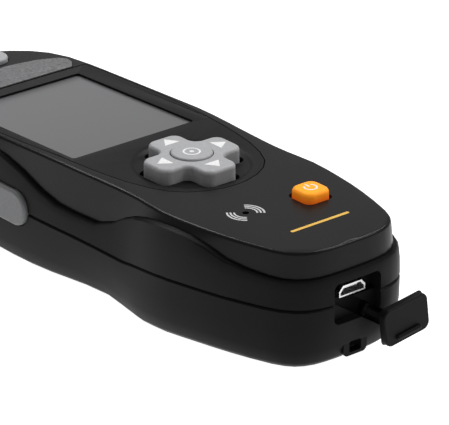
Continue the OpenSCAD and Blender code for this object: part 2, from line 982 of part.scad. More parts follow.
module aperture_ring() {
  color([0.62, 0.63, 0.65])
    translate([0, sensor_y, 0.1])
      difference() {
        union() {
          cylinder(h = 2.8, r = 9);
          cylinder(h = 4.6, r = 6.5);
        }
        translate([0, 0, -1])
          cylinder(h = 7, r = aperture_r);
        translate([0, 0, 2.8])
          cylinder(h = 2.5, r = aperture_r + 1.05);
        translate([0, 0, -0.1])
          cylinder(h = 0.9, r1 = aperture_r + 1.2, r2 = aperture_r - 0.1);
      }
}

module sensor_window() {
  color([0.75, 0.82, 0.85])
    translate([0, sensor_y, 3])
      cylinder(h = 0.9, r = aperture_r + 1);
}

module optics_tube() {
  color([0.92, 0.92, 0.90])
    translate([0, sensor_y, 4.8])
      difference() {
        union() {
          cylinder(h = 8.6, r = 6.5);
          translate([0, 0, 3.4])
            cylinder(h = 5.2, r = 9);
        }
        translate([0, 0, -1])
          cylinder(h = 12, r = aperture_r + 0.4);
      }
}

module focus_lens() {
  color([0.80, 0.88, 0.92])
    translate([0, sensor_y, 7.4])
      cylinder(h = 1.6, r = aperture_r + 0.35);
}

module lamp_ring() {
  color([0.95, 0.95, 0.90])
    translate([0, sensor_y, 13.5])
      difference() {
        union() {
          cylinder(h = 1, r = 9);
          for (a = [0 : 45 : 315])
            rotate(a)
              translate([6.6, -0.8, 0])
                cube([1.8, 1.6, 1.8]);
        }
        translate([0, 0, -1])
          cylinder(h = 5, r = 3);
      }
}

module sensor_board() {
  color([0.05, 0.25, 0.32])
    difference() {
      union() {
        translate([-13, sensor_y - 10, 15.6])
          cube([26, 20, 1.2]);
        translate([-2.5, sensor_y - 2.5, 14.7])
          cube([5, 5, 1]);
        for (sx = [-1, 1], sy = [-1, 1])
          translate([sx * 11.4, sensor_y + sy * 8.4, 7])
            cylinder(h = 8.8, r = 1.4, $fn = 24);
      }
      for (p = post_places)
        translate([p[0], p[1], 10])
          cylinder(h = 12, r = 3);
    }
}

// Lanyard eye at the tail: a passage that runs from the end to the belly behind a bar.

eye_w = 3.5;
eye_z = 7;
eye_h = 2.7;

module lanyard_block() {
  translate([-4.4, -79, 0])
    cube([8.8, 11, 11.4]);
}

module lanyard_boss() {
  along_y(tail_face + 0.8, tail_face + 4, eye_z + 0.1)
    rounded_box(6.8, 4.4, 1.2);
}

module lanyard_passage() {
  along_y(-90, -72.4, eye_z)
    rounded_box(eye_w, eye_h, 0.5);
  translate([-eye_w / 2, -75.3, -1])
    cube([eye_w, 2.9, eye_z + 1.5]);
}

// Rubber foot round the aperture, on which the head rests.

module head_foot() {
  color([0.06, 0.06, 0.06])
    translate([0, sensor_y, 0])
      difference() {
        cylinder(h = 0.6, r = 15, $fn = 64);
        translate([0, 0, -1])
          cylinder(h = 3, r = 9.6, $fn = 64);
      }
}

// Rubber pad under the belly, which carries the other end.

module rest_pad() {
  color([0.06, 0.06, 0.06])
    difference() {
      translate([0, 5, 0])
        linear_extrude(3.2)
          rotate(90)
            oval(50, 13);
      shell_skin();
    }
}

top_cover();
grip_band();
bottom_shell();
bezel_panel();
accent_plate();
display_window();
display_gasket();
display_module();
nav_key();
nav_web();
enter_key();
power_key();
measure_key();
head_key();
key_board();
dome_switches();
main_board();
board_pillars();
usb_socket();
usb_flap();
flap_strap();
strap_anchor();
buzzer();
battery_pack();
battery_lead();
battery_door();
door_screws();
case_screws();
optics_tube();
aperture_ring();
sensor_window();
lamp_ring();
sensor_board();
focus_lens();
measure_switch();
head_foot();
rest_pad();
display_flex();
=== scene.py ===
# %% [markdown]
# # Dressing a hand-held colorimeter
# The object is a slim black meter. It has a dark two-part casing, a slim grip band
# between the two, a sunk panel with a display and rubber keys, and at its tail a data
# socket with a pull-out rubber cover. The solid model was made first, as an assembly
# of named nodes. This lesson loads that assembly and gives every piece its finish.
# Where the real piece has softer edges than the node, a piece modelled here takes over.

# %% Load the assembly
import json
import math
import bmesh
import bpy
from mathutils import Matrix, Vector


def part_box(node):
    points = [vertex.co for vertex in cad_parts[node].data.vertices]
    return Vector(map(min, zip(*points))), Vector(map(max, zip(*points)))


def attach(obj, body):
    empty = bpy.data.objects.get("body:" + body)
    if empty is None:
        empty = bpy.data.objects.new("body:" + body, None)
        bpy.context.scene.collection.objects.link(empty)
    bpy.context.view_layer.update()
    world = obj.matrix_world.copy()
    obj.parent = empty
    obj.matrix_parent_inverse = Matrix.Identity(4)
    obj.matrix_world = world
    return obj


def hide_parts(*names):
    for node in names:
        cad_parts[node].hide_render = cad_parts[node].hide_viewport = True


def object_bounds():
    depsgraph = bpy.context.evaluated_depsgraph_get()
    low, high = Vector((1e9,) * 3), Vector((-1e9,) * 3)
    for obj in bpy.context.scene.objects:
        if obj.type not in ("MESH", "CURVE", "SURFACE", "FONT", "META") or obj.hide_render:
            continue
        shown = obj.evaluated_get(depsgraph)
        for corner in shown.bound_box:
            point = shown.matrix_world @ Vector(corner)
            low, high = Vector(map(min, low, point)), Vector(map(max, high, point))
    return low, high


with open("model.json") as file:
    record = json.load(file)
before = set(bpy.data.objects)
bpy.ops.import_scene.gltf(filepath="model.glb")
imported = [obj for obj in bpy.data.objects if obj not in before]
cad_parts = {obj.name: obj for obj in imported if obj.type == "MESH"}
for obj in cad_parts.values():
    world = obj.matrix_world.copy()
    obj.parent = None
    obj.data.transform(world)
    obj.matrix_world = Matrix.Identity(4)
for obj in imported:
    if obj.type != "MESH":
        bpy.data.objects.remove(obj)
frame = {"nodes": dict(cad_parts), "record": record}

MM = 0.001
nodes = frame["nodes"]
cad_low, cad_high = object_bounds()
size_mm = (cad_high - cad_low) / MM
print(f"{len(nodes)} nodes, {size_mm.x:.1f} x {size_mm.y:.1f} x {size_mm.z:.1f} mm")

# %% [markdown]
# ## Camera
# The photograph was taken with a long lens from the front left, 24 degrees above the
# bench, close enough for the head end to leave the frame. A long lens keeps the
# parallel edges of the casing nearly parallel, so the focal length matters as much as
# the place. Only the place, the two turns and the lens are set: no shift, no blur.

# %% Set up the camera
camera_data = bpy.data.cameras.new("bench_camera")
camera_data.sensor_width = 36
camera_data.lens = 280.17
camera_data.clip_start = 0.05
camera = bpy.data.objects.new("bench_camera", camera_data)
camera.location = (-0.466215, -0.595043, 0.348953)
camera.rotation_euler = (math.radians(90 - 23.9886), 0, math.radians(-39.6169))
bpy.context.scene.collection.objects.link(camera)
bpy.context.scene.camera = camera
print("camera distance", round(camera.location.length, 3), "m")

# %% [markdown]
# ## Floor and light
# The meter lies on a plain white sweep, which glows a little, so that hardly any shadow
# is left on it. A wide softbox hangs overhead. A weak one stands low on the far right,
# where the key face mirrors it, and lifts that face from black to dark grey. Three
# narrow strips stand where the rounded rim mirrors them: one for the flank, one for
# the tail and one for the edges of the socket cover. They draw the thin pale lines.
# The sweep throws light back at the lower casing.

# %% Lay the floor and hang the lights
def softbox(name, place, target, width, height, power):
    """A rectangular lamp that faces a target."""
    data = bpy.data.lights.new(name, "AREA")
    data.shape = "RECTANGLE"
    data.size = width
    data.size_y = height
    data.energy = power
    lamp = bpy.data.objects.new(name, data)
    lamp.location = place
    lamp.rotation_euler = (Vector(target) - Vector(place)).to_track_quat("-Z", "Y").to_euler()
    bpy.context.scene.collection.objects.link(lamp)
    return lamp


softbox("top_softbox", (0.1, 0.3, 0.9), (0, -0.02, 0), 0.9, 0.9, 1.9)
softbox("far_softbox", (0.55, 0.66, 0.42), (0, 0, 0.02), 0.55, 0.42, 0.2)
softbox("flank_strip", (0.05, 0.64, 0.76), (0, -0.02, 0.02), 0.5, 0.12, 2.8)
softbox("tail_strip", (0.58, 0.06, 0.82), (0, -0.02, 0.02), 0.14, 0.5, 3.6)
softbox("cover_strip", (0.55, -0.42, 0.72), (0, -0.05, 0.02), 0.14, 0.4, 2.4)
softbox("tail_softbox", (0.35, -0.9, 0.45), (0, -0.05, 0.02), 0.5, 0.5, 0.5)

world = bpy.data.worlds.new("studio")
world.use_nodes = True
world.node_tree.nodes["Background"].inputs["Color"].default_value = (1, 1, 1, 1)
world.node_tree.nodes["Background"].inputs["Strength"].default_value = 0.25
bpy.context.scene.world = world
bpy.context.scene.view_settings.view_transform = "Standard"

bpy.ops.object.select_all(action="DESELECT")
bpy.ops.mesh.primitive_grid_add(x_subdivisions=4, y_subdivisions=4, size=6, location=(0, 0, -0.0001))
floor = bpy.context.active_object
floor.name = "studio_floor"
paper = bpy.data.materials.new("white_sweep")
paper.use_nodes = True
sweep = paper.node_tree.nodes["Principled BSDF"].inputs
sweep["Base Color"].default_value = (0.4, 0.4, 0.4, 1)
sweep["Roughness"].default_value = 0.9
sweep["Emission Color"].default_value = (1, 1, 1, 1)
sweep["Emission Strength"].default_value = 1.0
floor.data.materials.append(paper)
print("three softboxes, three strips and a floor")

# %% [markdown]
# ## Shader maths as plain expressions
# A finish is a small net of nodes: noise makes the grain, a ramp turns it into a
# colour, a bump node turns it into relief. Written node by node that is long. So one
# small class wraps a socket and lets Python's own signs add the Math nodes. After
# that, a recipe reads like the sum that it is.

# %% A class for signals
class Signal:
    """One output of a finish's net. Signs on it add Math nodes."""

    def __init__(self, finish, socket):
        self.finish = finish
        self.socket = socket

    def maths(self, operation, first, second):
        return self.finish.node("ShaderNodeMath", {"operation": operation}, {0: first, 1: second})

    def __add__(self, other):
        return self.maths("ADD", self, other)

    def __sub__(self, other):
        return self.maths("SUBTRACT", self, other)

    def __mul__(self, other):
        return self.maths("MULTIPLY", self, other)


print("signals ready")

# %% [markdown]
# ## One class for every finish
# A finish starts from Blender's surface shader and adds nodes to it. The noise, the
# ramp, the blend of two colours and the relief come back in nearly every recipe, so
# each has a method of its own.

# %% A class for finishes
class Finish:
    """A material whose net is built one node at a time."""

    def __init__(self, name, metallic=0.0, coat=0.0):
        self.material = bpy.data.materials.new(name)
        self.material.use_nodes = True
        self.net = self.material.node_tree
        self.shader = self.net.nodes["Principled BSDF"]
        self.place = self.node("ShaderNodeTexCoord", output="Object")
        self.give("Metallic", metallic)
        self.give("Coat Weight", coat)

    def connect(self, target, value):
        if isinstance(value, Signal):
            self.net.links.new(value.socket, target)
        else:
            target.default_value = value

    def node(self, kind, settings=None, inputs=None, output=0):
        """Adds a node: its settings first, then the values or links of its sockets."""
        added = self.net.nodes.new(kind)
        for setting, value in (settings or {}).items():
            if setting == "stops":
                for stop, (position, shade) in zip(added.color_ramp.elements, value):
                    stop.position = position
                    stop.color = (shade, shade, shade, 1)
            else:
                setattr(added, setting, value)
        for socket, value in (inputs or {}).items():
            self.connect(added.inputs[socket], value)
        return Signal(self, added.outputs[output])

    def give(self, socket, value):
        """Feeds one socket of the surface shader."""
        self.connect(self.shader.inputs[socket], value)

    def noise(self, scale, detail=3.0, stretch=(1, 1, 1)):
        """Soft random values between 0 and 1, with the grain size set by scale."""
        spot = self.node("ShaderNodeMapping", {}, {"Vector": self.place, "Scale": stretch})
        return self.node("ShaderNodeTexNoise", {}, {"Vector": spot, "Scale": scale, "Detail": detail})

    def steps(self, value, low, high):
        """0 below low, 1 above high, and a ramp between."""
        return self.node("ShaderNodeValToRGB", {"stops": [(low, 0), (high, 1)]}, {"Fac": value})

    def blend(self, mask, dark, light):
        """A colour between two, by a mask."""
        added = self.net.nodes.new("ShaderNodeMix")
        added.data_type = "RGBA"
        self.connect(added.inputs[0], mask)
        self.connect(added.inputs[6], (*dark, 1) if isinstance(dark, tuple) else dark)
        self.connect(added.inputs[7], (*light, 1) if isinstance(light, tuple) else light)
        return Signal(self, added.outputs[2])

    def relief(self, height, strength, depth):
        """Bends the surface normal by a height, depth in millimetres."""
        bump = self.node("ShaderNodeBump", {},
                         {"Height": height, "Strength": strength, "Distance": depth * MM})
        self.give("Normal", bump)

    def height_mm(self):
        """Height above the floor in millimetres, read from the place of the surface."""
        return self.node("ShaderNodeSeparateXYZ", {}, {0: self.place}, "Z") * 1000


print("finishes ready")

# %% [markdown]
# ## The black mouldings
# The casings come out of a steel mould whose walls were eroded by sparks, which leaves
# a fine even matt grain. Handling polishes it in faint cloudy patches. So the recipe
# has two noises: a fine one for the relief, and a wide one that shifts the colour and
# the roughness a little. The grip band is a softer compound, matter and a bit darker.

# %% Finishes of the casings
def moulded(name, colour, roughness, grain=2600, relief=0.25, clouds=0.16, gloss=0.4):
    """Matt moulded plastic: fine spark grain, cloudy handling marks."""
    finish = Finish(name)
    cloud = finish.noise(42, 4)
    fine = finish.noise(grain, 2)
    worn = finish.steps(cloud, 0.35, 0.75)
    lighter = tuple(c * (1 + clouds * 2) for c in colour)
    finish.give("Base Color", finish.blend(worn, colour, lighter))
    finish.give("Roughness", cloud * 0.12 + (roughness - 0.06))
    finish.relief(fine, relief, 0.05)
    finish.give("Specular IOR Level", gloss)
    return finish.material


case_black = moulded("case_black", (0.006, 0.006, 0.0063), 0.28, gloss=0.12)
case_black_lower = moulded("case_black_lower", (0.005, 0.005, 0.0053), 0.42, gloss=0.07)
grip_black = moulded("grip_black", (0.005, 0.005, 0.0053), 0.42, grain=2200, relief=0.3, gloss=0.07)
panel_black = moulded("panel_black", (0.006, 0.006, 0.0065), 0.42, relief=0.1, gloss=0.1)
flap_rubber = moulded("flap_rubber", (0.0045, 0.0045, 0.005), 0.48, grain=1800, relief=0.3, gloss=0.09)
foot_rubber = moulded("foot_rubber", (0.012, 0.012, 0.012), 0.7, grain=1200, relief=0.5)
buzzer_black = moulded("buzzer_black", (0.015, 0.015, 0.016), 0.45)
foam_black = moulded("foam_black", (0.01, 0.01, 0.01), 0.95, grain=900, relief=0.9)
print("eight moulded finishes")

# %% [markdown]
# ## The speckled plate
# Between the display and the head key lies a grey plate printed to look like stone or
# cast metal: small pale and dark flecks on mid grey. Two Voronoi cells of different
# size would look like a mosaic, so thresholds of a fine noise are used instead. Each
# threshold cuts out its own irregular flecks.

# %% Finish of the accent plate
def speckled(name, ground, pale, dark):
    """Mid grey with pale and dark flecks and a slight relief."""
    finish = Finish(name)
    fleck = finish.noise(1500, 4)
    second = finish.noise(900, 3, (1.3, 0.8, 1))
    with_pale = finish.blend(finish.steps(fleck, 0.52, 0.66), ground, pale)
    finish.give("Base Color", finish.blend(finish.steps(second, 0.56, 0.66), with_pale, dark))
    finish.give("Roughness", fleck * 0.2 + 0.4)
    finish.relief(fleck, 0.35, 0.06)
    return finish.material


accent_grey = speckled("accent_grey", (0.12, 0.12, 0.124), (0.20, 0.20, 0.205), (0.07, 0.07, 0.074))
print("accent plate finish")

# %% [markdown]
# ## Silicone keys
# The keys are moulded silicone: a dull sheen, hardly any grain, and edges that let
# some light through. Subsurface scattering gives that softness. The finger polishes
# the middle of a key first, so the roughness drops a little in wide soft patches.
# The power key is dyed orange. Its top is painted lighter and its sides darker, as painted
# light from above, so its colour follows the height; an emission adds a painted glow.

# %% Finishes of the keys
def silicone(name, colour, roughness=0.5, glow=0.05):
    """Dull rubbery surface with light inside and faint dust."""
    finish = Finish(name)
    wide = finish.noise(130, 3)
    dust = finish.noise(1400, 3)
    dusty = tuple(min(1, c * 1.12 + 0.01) for c in colour)
    finish.give("Base Color", finish.blend(finish.steps(dust, 0.45, 0.8), colour, dusty))
    finish.give("Roughness", wide * 0.16 + (roughness - 0.08))
    finish.give("Subsurface Weight", glow)
    finish.give("Subsurface Radius", (0.001, 0.001, 0.001))
    finish.give("Specular IOR Level", 0.4)
    finish.relief(dust, 0.12, 0.03)
    return finish.material


def painted_light_silicone(name, lit_top_colour, shaded_side_colour, low, high):
    """Dyed silicone with painted light: painted shade on the sides, a lighter painted top, and a painted
    glow.
    """
    finish = Finish(name)
    level = (finish.height_mm() - low) * (1 / (high - low))
    patchy = finish.noise(220, 2) * 0.16 - 0.08
    # Painted light: the colour goes from painted shade on the sides to a lighter painted top, by height.
    colour = finish.blend(finish.steps(level + patchy, 0.1, 0.95), shaded_side_colour, lit_top_colour)
    finish.give("Base Color", colour)
    finish.give("Roughness", finish.noise(300, 2) * 0.15 + 0.36)
    finish.give("Subsurface Weight", 0.1)
    finish.give("Subsurface Radius", (0.003, 0.0015, 0.0005))
    # Painted glow: the key's own colour is emitted, though the key is no lamp.
    finish.give("Emission Color", colour)
    finish.give("Emission Strength", 0.3)
    finish.give("Specular IOR Level", 0.1)
    finish.relief(finish.noise(1500, 2), 0.1, 0.03)
    return finish.material


key_pale_grey = silicone("key_pale_grey", (0.37, 0.373, 0.38))
key_mid_grey = silicone("key_mid_grey", (0.14, 0.142, 0.146))
silicone_grey = silicone("silicone_grey", (0.25, 0.25, 0.26))
# Painted light: the first orange is the lit top, the second the shaded sides.
key_orange = painted_light_silicone("key_orange", (0.95, 0.37, 0.02), (0.84, 0.11, 0.008), 31.2, 34.6)
print("four silicone finishes")

# %% [markdown]
# ## Prints
# Arrows, arcs and the power sign are pad-printed ink. Ink on silicone is thin and
# slightly uneven, so the paper-white is broken with a fine noise, and its roughness
# is higher than that of the key under it.

# %% Finishes of the inks
def ink(name, colour, thin=0.82):
    """Pad-printed ink with small thin spots."""
    finish = Finish(name)
    spots = finish.noise(2600, 3)
    faded = tuple(c * thin for c in colour)
    finish.give("Base Color", finish.blend(finish.steps(spots, 0.3, 0.6), faded, colour))
    finish.give("Roughness", spots * 0.2 + 0.45)
    finish.relief(spots, 0.2, 0.02)
    return finish.material


ink_white = ink("ink_white", (0.86, 0.86, 0.86))
ink_soft_white = ink("ink_soft_white", (0.62, 0.62, 0.63))
ink_amber = ink("ink_amber", (0.85, 0.50, 0.07))
print("three inks")

# %% [markdown]
# ## Metal pieces
# The socket shell is bright tinned steel, the screws are zinc plated, the ring round
# the measuring port is turned aluminium, and the pillars are brass. All share one
# recipe: metal colour, a stretched noise for the drawing or turning marks, and a wide
# noise for tarnish. The stretch says which way the tool ran.

# %% Finishes of the metals
def metal(name, colour, roughness, stretch=(1, 1, 1), marks=700, tarnish=0.75):
    """Plated or turned metal with tool marks and a little tarnish."""
    finish = Finish(name, metallic=1.0)
    lines = finish.noise(marks, 2, stretch)
    cloud = finish.noise(160, 4)
    dull = tuple(c * tarnish for c in colour)
    finish.give("Base Color", finish.blend(finish.steps(cloud, 0.4, 0.75), colour, dull))
    finish.give("Roughness", lines * 0.2 + (roughness - 0.08))
    finish.relief(lines, 0.15, 0.02)
    return finish.material


socket_steel = metal("socket_steel", (0.80, 0.80, 0.81), 0.24, (1, 0.15, 1))
screw_steel = metal("screw_steel", (0.58, 0.59, 0.60), 0.34)
dome_steel = metal("dome_steel", (0.68, 0.68, 0.67), 0.3)
display_metal = metal("display_metal", (0.72, 0.73, 0.75), 0.36, (0.1, 1, 1))
brass_pillar = metal("brass_pillar", (0.72, 0.52, 0.24), 0.3, (1, 1, 0.1))
aperture_aluminium = metal("aperture_aluminium", (0.66, 0.67, 0.69), 0.32)
print("six metals")

# %% [markdown]
# ## Boards, film, wire and shrink wrap
# Inside, the boards carry a glossy solder mask over copper lines. A brick pattern of
# thin lines stands in for the tracks. The flat cable is amber film with copper
# strips, the battery is wrapped in blue shrink film, and the lead is red insulation.
# None of it shows from outside, but it shows when the casings are taken apart.

# %% Finishes inside
def board(name, mask, track):
    """Solder mask over copper tracks, glossy."""
    finish = Finish(name, coat=0.3)
    spot = finish.node("ShaderNodeMapping", {}, {"Vector": finish.place, "Scale": (420, 420, 420)})
    lines = finish.node(
        "ShaderNodeTexBrick", {"offset": 0.37, "squash": 0.7},
        {"Vector": spot, "Scale": 1.0, "Mortar Size": 0.06, "Mortar Smooth": 0.2}, "Fac")
    cloud = finish.noise(80, 3)
    tinted = finish.blend(cloud * 0.35, mask, tuple(c * 0.7 for c in mask))
    finish.give("Base Color", finish.blend(lines, tinted, track))
    finish.give("Roughness", cloud * 0.15 + 0.22)
    finish.relief(lines, 0.4, 0.04)
    return finish.material


def film(name, colour, roughness, band_scale=0.0, band_colour=None):
    """Thin coloured film or insulation, with printed or copper bands across X if asked."""
    finish = Finish(name, coat=0.25)
    cloud = finish.noise(240, 4)
    tinted = finish.blend(cloud, colour, tuple(c * 0.8 for c in colour))
    if band_scale:
        spot = finish.node("ShaderNodeMapping", {}, {"Vector": finish.place, "Scale": (band_scale, 0, 0)})
        bands = finish.node("ShaderNodeTexWave", {"bands_direction": "X"}, {"Vector": spot, "Scale": 1.0})
        tinted = finish.blend(finish.steps(bands, 0.45, 0.55), tinted, band_colour)
    finish.give("Base Color", tinted)
    finish.give("Roughness", cloud * 0.18 + (roughness - 0.09))
    finish.relief(cloud, 0.3, 0.05)
    return finish.material


board_green = board("board_green", (0.02, 0.13, 0.05), (0.06, 0.26, 0.10))
lamp_board = board("lamp_board", (0.80, 0.80, 0.76), (0.66, 0.66, 0.62))
flex_amber = film("flex_amber", (0.52, 0.27, 0.05), 0.35, 320, (0.66, 0.40, 0.16))
battery_wrap = film("battery_wrap", (0.09, 0.20, 0.42), 0.34)
lead_red = film("lead_red", (0.52, 0.03, 0.02), 0.4)
optics_white = moulded("optics_white", (0.82, 0.82, 0.80), 0.8, grain=1500, clouds=0.02)
print("six inner finishes")

# %% [markdown]
# ## Glass
# The display window is dark glass with a matt film behind it. It is an even mid grey,
# the switched-off display under the glass, so that grey is in the base colour, and the
# gloss is on a coat above it. Towards the head the base colour is also painted paler, a
# painted reflection of the softbox that the glass mirrors there. The lens and the inner
# window of the measuring port are clear, and a slight tint comes from their coating.

# %% Finishes of the glass pieces
def dead_display(name, near, far):
    """Switched-off display: grey with a painted reflection that pales it along Y, fine pixel grid, glossy
    coat.
    """
    finish = Finish(name, coat=0.35)
    along = finish.node("ShaderNodeSeparateXYZ", {}, {0: finish.place}, "Y") * (1000 / 46)
    haze = finish.noise(30, 2) * 0.3 - 0.15
    # Painted reflection: the base grey gets paler along Y, towards the head, where the glass mirrors the
    # softbox.
    finish.give("Base Color", finish.blend(finish.steps(along + haze, 0.0, 1.0), near, far))
    pixels = finish.node("ShaderNodeTexChecker", {}, {"Vector": finish.place, "Scale": 9000}, "Fac")
    finish.give("Roughness", pixels * 0.02 + 0.3 + haze * 0.1)
    finish.give("Coat Roughness", 0.18)
    finish.relief(finish.noise(1200, 2), 0.03, 0.02)
    return finish.material


def clear_glass(name, tint):
    """Clear coated glass with faint wiping marks."""
    finish = Finish(name, coat=0.4)
    wipe = finish.noise(300, 3, (1, 0.2, 1))
    finish.give("Base Color", finish.blend(wipe, tint, tuple(c * 0.92 for c in tint)))
    finish.give("Roughness", wipe * 0.06 + 0.03)
    finish.give("Transmission Weight", 0.9)
    finish.give("IOR", 1.5)
    finish.relief(wipe, 0.02, 0.02)
    return finish.material


# The second grey holds the painted reflection of the softbox.
display_glass = dead_display("display_glass", (0.10, 0.101, 0.104), (0.125, 0.126, 0.13))
optics_glass = clear_glass("optics_glass", (0.82, 0.90, 0.93))
print("two glass finishes")

# %% [markdown]
# ## Modelling helpers
# Everything below is modelled as by hand in edit mode: start from a primitive, pick
# faces or edges, extrude or bevel them, leave edit mode, and finish. An operator acts
# on whatever is selected, so each helper first clears the selection. Faces and edges
# are picked by a test on their middle, in millimetres, and on their direction.

# %% Helpers for picking
def deselect_all():
    """Leaves edit mode and selects nothing."""
    if bpy.context.mode != "OBJECT":
        bpy.ops.object.mode_set(mode="OBJECT")
    bpy.ops.object.select_all(action="DESELECT")


def take(piece):
    """Makes one piece the only selected and the active one."""
    deselect_all()
    piece.select_set(True)
    bpy.context.view_layer.objects.active = piece


def freeze(piece):
    """Puts the piece's place, turn and size into its mesh."""
    take(piece)
    bpy.ops.object.transform_apply(location=True, rotation=True, scale=True)


def pick(piece, kind, test):
    """Opens edit mode and selects the faces, edges or corners that pass the test."""
    take(piece)
    bpy.ops.object.mode_set(mode="EDIT")
    bpy.ops.mesh.select_mode(type=kind)
    bpy.ops.mesh.select_all(action="DESELECT")
    shape = bmesh.from_edit_mesh(piece.data)
    shape.normal_update()
    count = 0
    for part in {"FACE": shape.faces, "EDGE": shape.edges, "VERT": shape.verts}[kind]:
        if kind == "FACE":
            middle, way = part.calc_center_median(), part.normal
        elif kind == "EDGE":
            middle = (part.verts[0].co + part.verts[1].co) / 2
            way = (part.verts[1].co - part.verts[0].co).normalized()
        else:
            middle, way = part.co, part.normal
        if test(middle / MM, way):
            part.select_set(True)
            count += 1
    bmesh.update_edit_mesh(piece.data)
    return count


print("picking helpers ready")

# %% [markdown]
# ## Blanks
# A box or a rod is the blank for almost every key. Each is set down at its real size
# and place, which are then frozen into the mesh, so that later bevels stay round.

# %% Helpers for blanks
def start(name, primitive, **settings):
    """A new primitive at its size and place, as the blank for a piece."""
    deselect_all()
    primitive(**settings)
    piece = bpy.context.active_object
    piece.name = name
    piece.data.name = name
    freeze(piece)
    return piece


def start_block(name, low, high):
    """A box between two corners in millimetres."""
    low, high = Vector(low) * MM, Vector(high) * MM
    deselect_all()
    bpy.ops.mesh.primitive_cube_add(size=1, location=(low + high) / 2)
    piece = bpy.context.active_object
    piece.name = name
    piece.data.name = name
    piece.scale = high - low
    freeze(piece)
    return piece


def start_rod(name, centre, radius, height, sides=48):
    """An upright cylinder from the middle of its foot, in millimetres."""
    middle = Vector(centre) + Vector((0, 0, height / 2))
    return start(name, bpy.ops.mesh.primitive_cylinder_add, vertices=sides, radius=radius * MM,
                 depth=height * MM, location=middle * MM)


print("blanks ready")

# %% [markdown]
# ## Work on edges and faces
# Four operations do the shaping: a bevel that rounds edges, an extrusion, a merge of
# faces that lie in one plane, and a recalculation that turns all faces outwards.

# %% Helpers for edges and faces
NEAR = 0.01


def at_top(middle, top):
    """Whether a middle lies at the top of a piece, give or take a hair."""
    return middle.z > top - NEAR


def round_edges(piece, test, radius, segments):
    """Rounds the picked edges with a bevel of that radius in millimetres."""
    count = pick(piece, "EDGE", test)
    bpy.ops.mesh.bevel(offset=radius * MM, segments=segments, profile=0.5, affect="EDGES",
                       clamp_overlap=True)
    deselect_all()
    return count


def push(piece, test, way):
    """Extrudes the picked faces by a way in millimetres."""
    pick(piece, "FACE", test)
    bpy.ops.mesh.extrude_region_move(
        TRANSFORM_OT_translate={"value": Vector(way) * MM, "orient_type": "GLOBAL"})
    deselect_all()


def merge_flats(piece):
    """Turns neighbouring faces in one plane into a single face."""
    pick(piece, "FACE", lambda middle, way: True)
    bpy.ops.mesh.select_all(action="SELECT")
    bpy.ops.mesh.dissolve_limited(angle_limit=math.radians(1))
    deselect_all()


def face_out(piece):
    """Recalculates the normals so that every face points outwards."""
    pick(piece, "FACE", lambda middle, way: True)
    bpy.ops.mesh.select_all(action="SELECT")
    bpy.ops.mesh.normals_make_consistent(inside=False)
    deselect_all()


print("shaping helpers ready")

# %% [markdown]
# ## Work on whole pieces
# Cutting, joining and copying act on whole pieces. The last helper settles a piece:
# it freezes its place, smooths its shading up to an angle, evens out the normals, puts
# the finish on and lets the piece ride on its body.

# %% Helpers for whole pieces
def shape_with(piece, kind, **settings):
    """Adds one modifier, sets it and applies it."""
    take(piece)
    modifier = piece.modifiers.new(kind.title(), kind)
    for setting, value in settings.items():
        setattr(modifier, setting, value)
    bpy.ops.object.modifier_apply(modifier=modifier.name)


def cut(piece, tool):
    """Cuts a tool out of a piece and throws the tool away."""
    shape_with(piece, "BOOLEAN", operation="DIFFERENCE", solver="EXACT", object=tool)
    bpy.data.objects.remove(tool)


def join(first, *others):
    """Joins pieces into the first one."""
    deselect_all()
    for piece in (first, *others):
        piece.select_set(True)
    bpy.context.view_layer.objects.active = first
    bpy.ops.object.join()
    return first


def copy_of(piece, name):
    """A copy with its own mesh."""
    twin = piece.copy()
    twin.data = piece.data.copy()
    twin.name = name
    twin.data.name = name
    bpy.context.scene.collection.objects.link(twin)
    return twin


def settle(piece, body, finish, angle=35):
    """Last steps of every piece: freeze, shade, finish, and ride on its body."""
    freeze(piece)
    bpy.ops.object.shade_smooth_by_angle(angle=math.radians(angle))
    shape_with(piece, "WEIGHTED_NORMAL", keep_sharp=True, weight=80)
    piece.data.materials.clear()
    piece.data.materials.append(finish)
    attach(piece, body)
    spread = Vector(piece.dimensions) / MM
    print(f"{piece.name}: {len(piece.data.polygons)} faces, "
          f"{spread.x:.1f} x {spread.y:.1f} x {spread.z:.1f} mm")
    return piece


print("helpers for whole pieces ready")

# %% [markdown]
# ## Casings, band and panel
# The casings were lofted in the solid model: rings that follow the outline, moved out
# and up by smooth tables. Their shape is right, but each facet is shaded flat. On a
# moulded part the light glides over such faces, and only real edges break it. So a
# copy of each node is merged, its old normals are dropped, edges under 30 to 42
# degrees are shaded smooth, and the normals are weighted towards the large faces. That
# makes the narrow chamfers of the rim read as one round edge.

# %% Smooth copies of the lofted mouldings
def merged_copy(node, name):
    """A copy of a node's mesh, free of its body, with its triangles joined up."""
    piece = copy_of(nodes[node], name)
    piece.parent = None
    piece.matrix_world = Matrix.Identity(4)
    for key in list(piece.keys()):
        if key.startswith("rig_"):
            del piece[key]
    take(piece)
    bpy.ops.mesh.customdata_custom_splitnormals_clear()
    pick(piece, "VERT", lambda middle, way: True)
    bpy.ops.mesh.remove_doubles(threshold=0.002 * MM)
    deselect_all()
    return piece


def smooth_copy(node, name, body, finish, angle=35):
    """A merged and smoothly shaded copy that stands for a node."""
    piece = merged_copy(node, name)
    settle(piece, body, finish, angle)
    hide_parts(node)
    return piece


smooth_copy("top_cover", "top_cover_moulding", "housing", case_black, 42)
smooth_copy("grip_band", "grip_band_moulding", "housing", grip_black, 42)
smooth_copy("bottom_shell", "bottom_shell_moulding", "housing", case_black_lower, 42)
smooth_copy("battery_door", "battery_door_moulding", "housing", case_black_lower, 42)
smooth_copy("bezel_panel", "bezel_panel_moulding", "housing", panel_black, 30)
smooth_copy("accent_plate", "accent_plate_inlay", "housing", accent_grey, 30)
smooth_copy("flap_strap", "flap_strap_link", "flap_strap", flap_rubber)
smooth_copy("strap_anchor", "strap_anchor_lugs", "housing", flap_rubber)

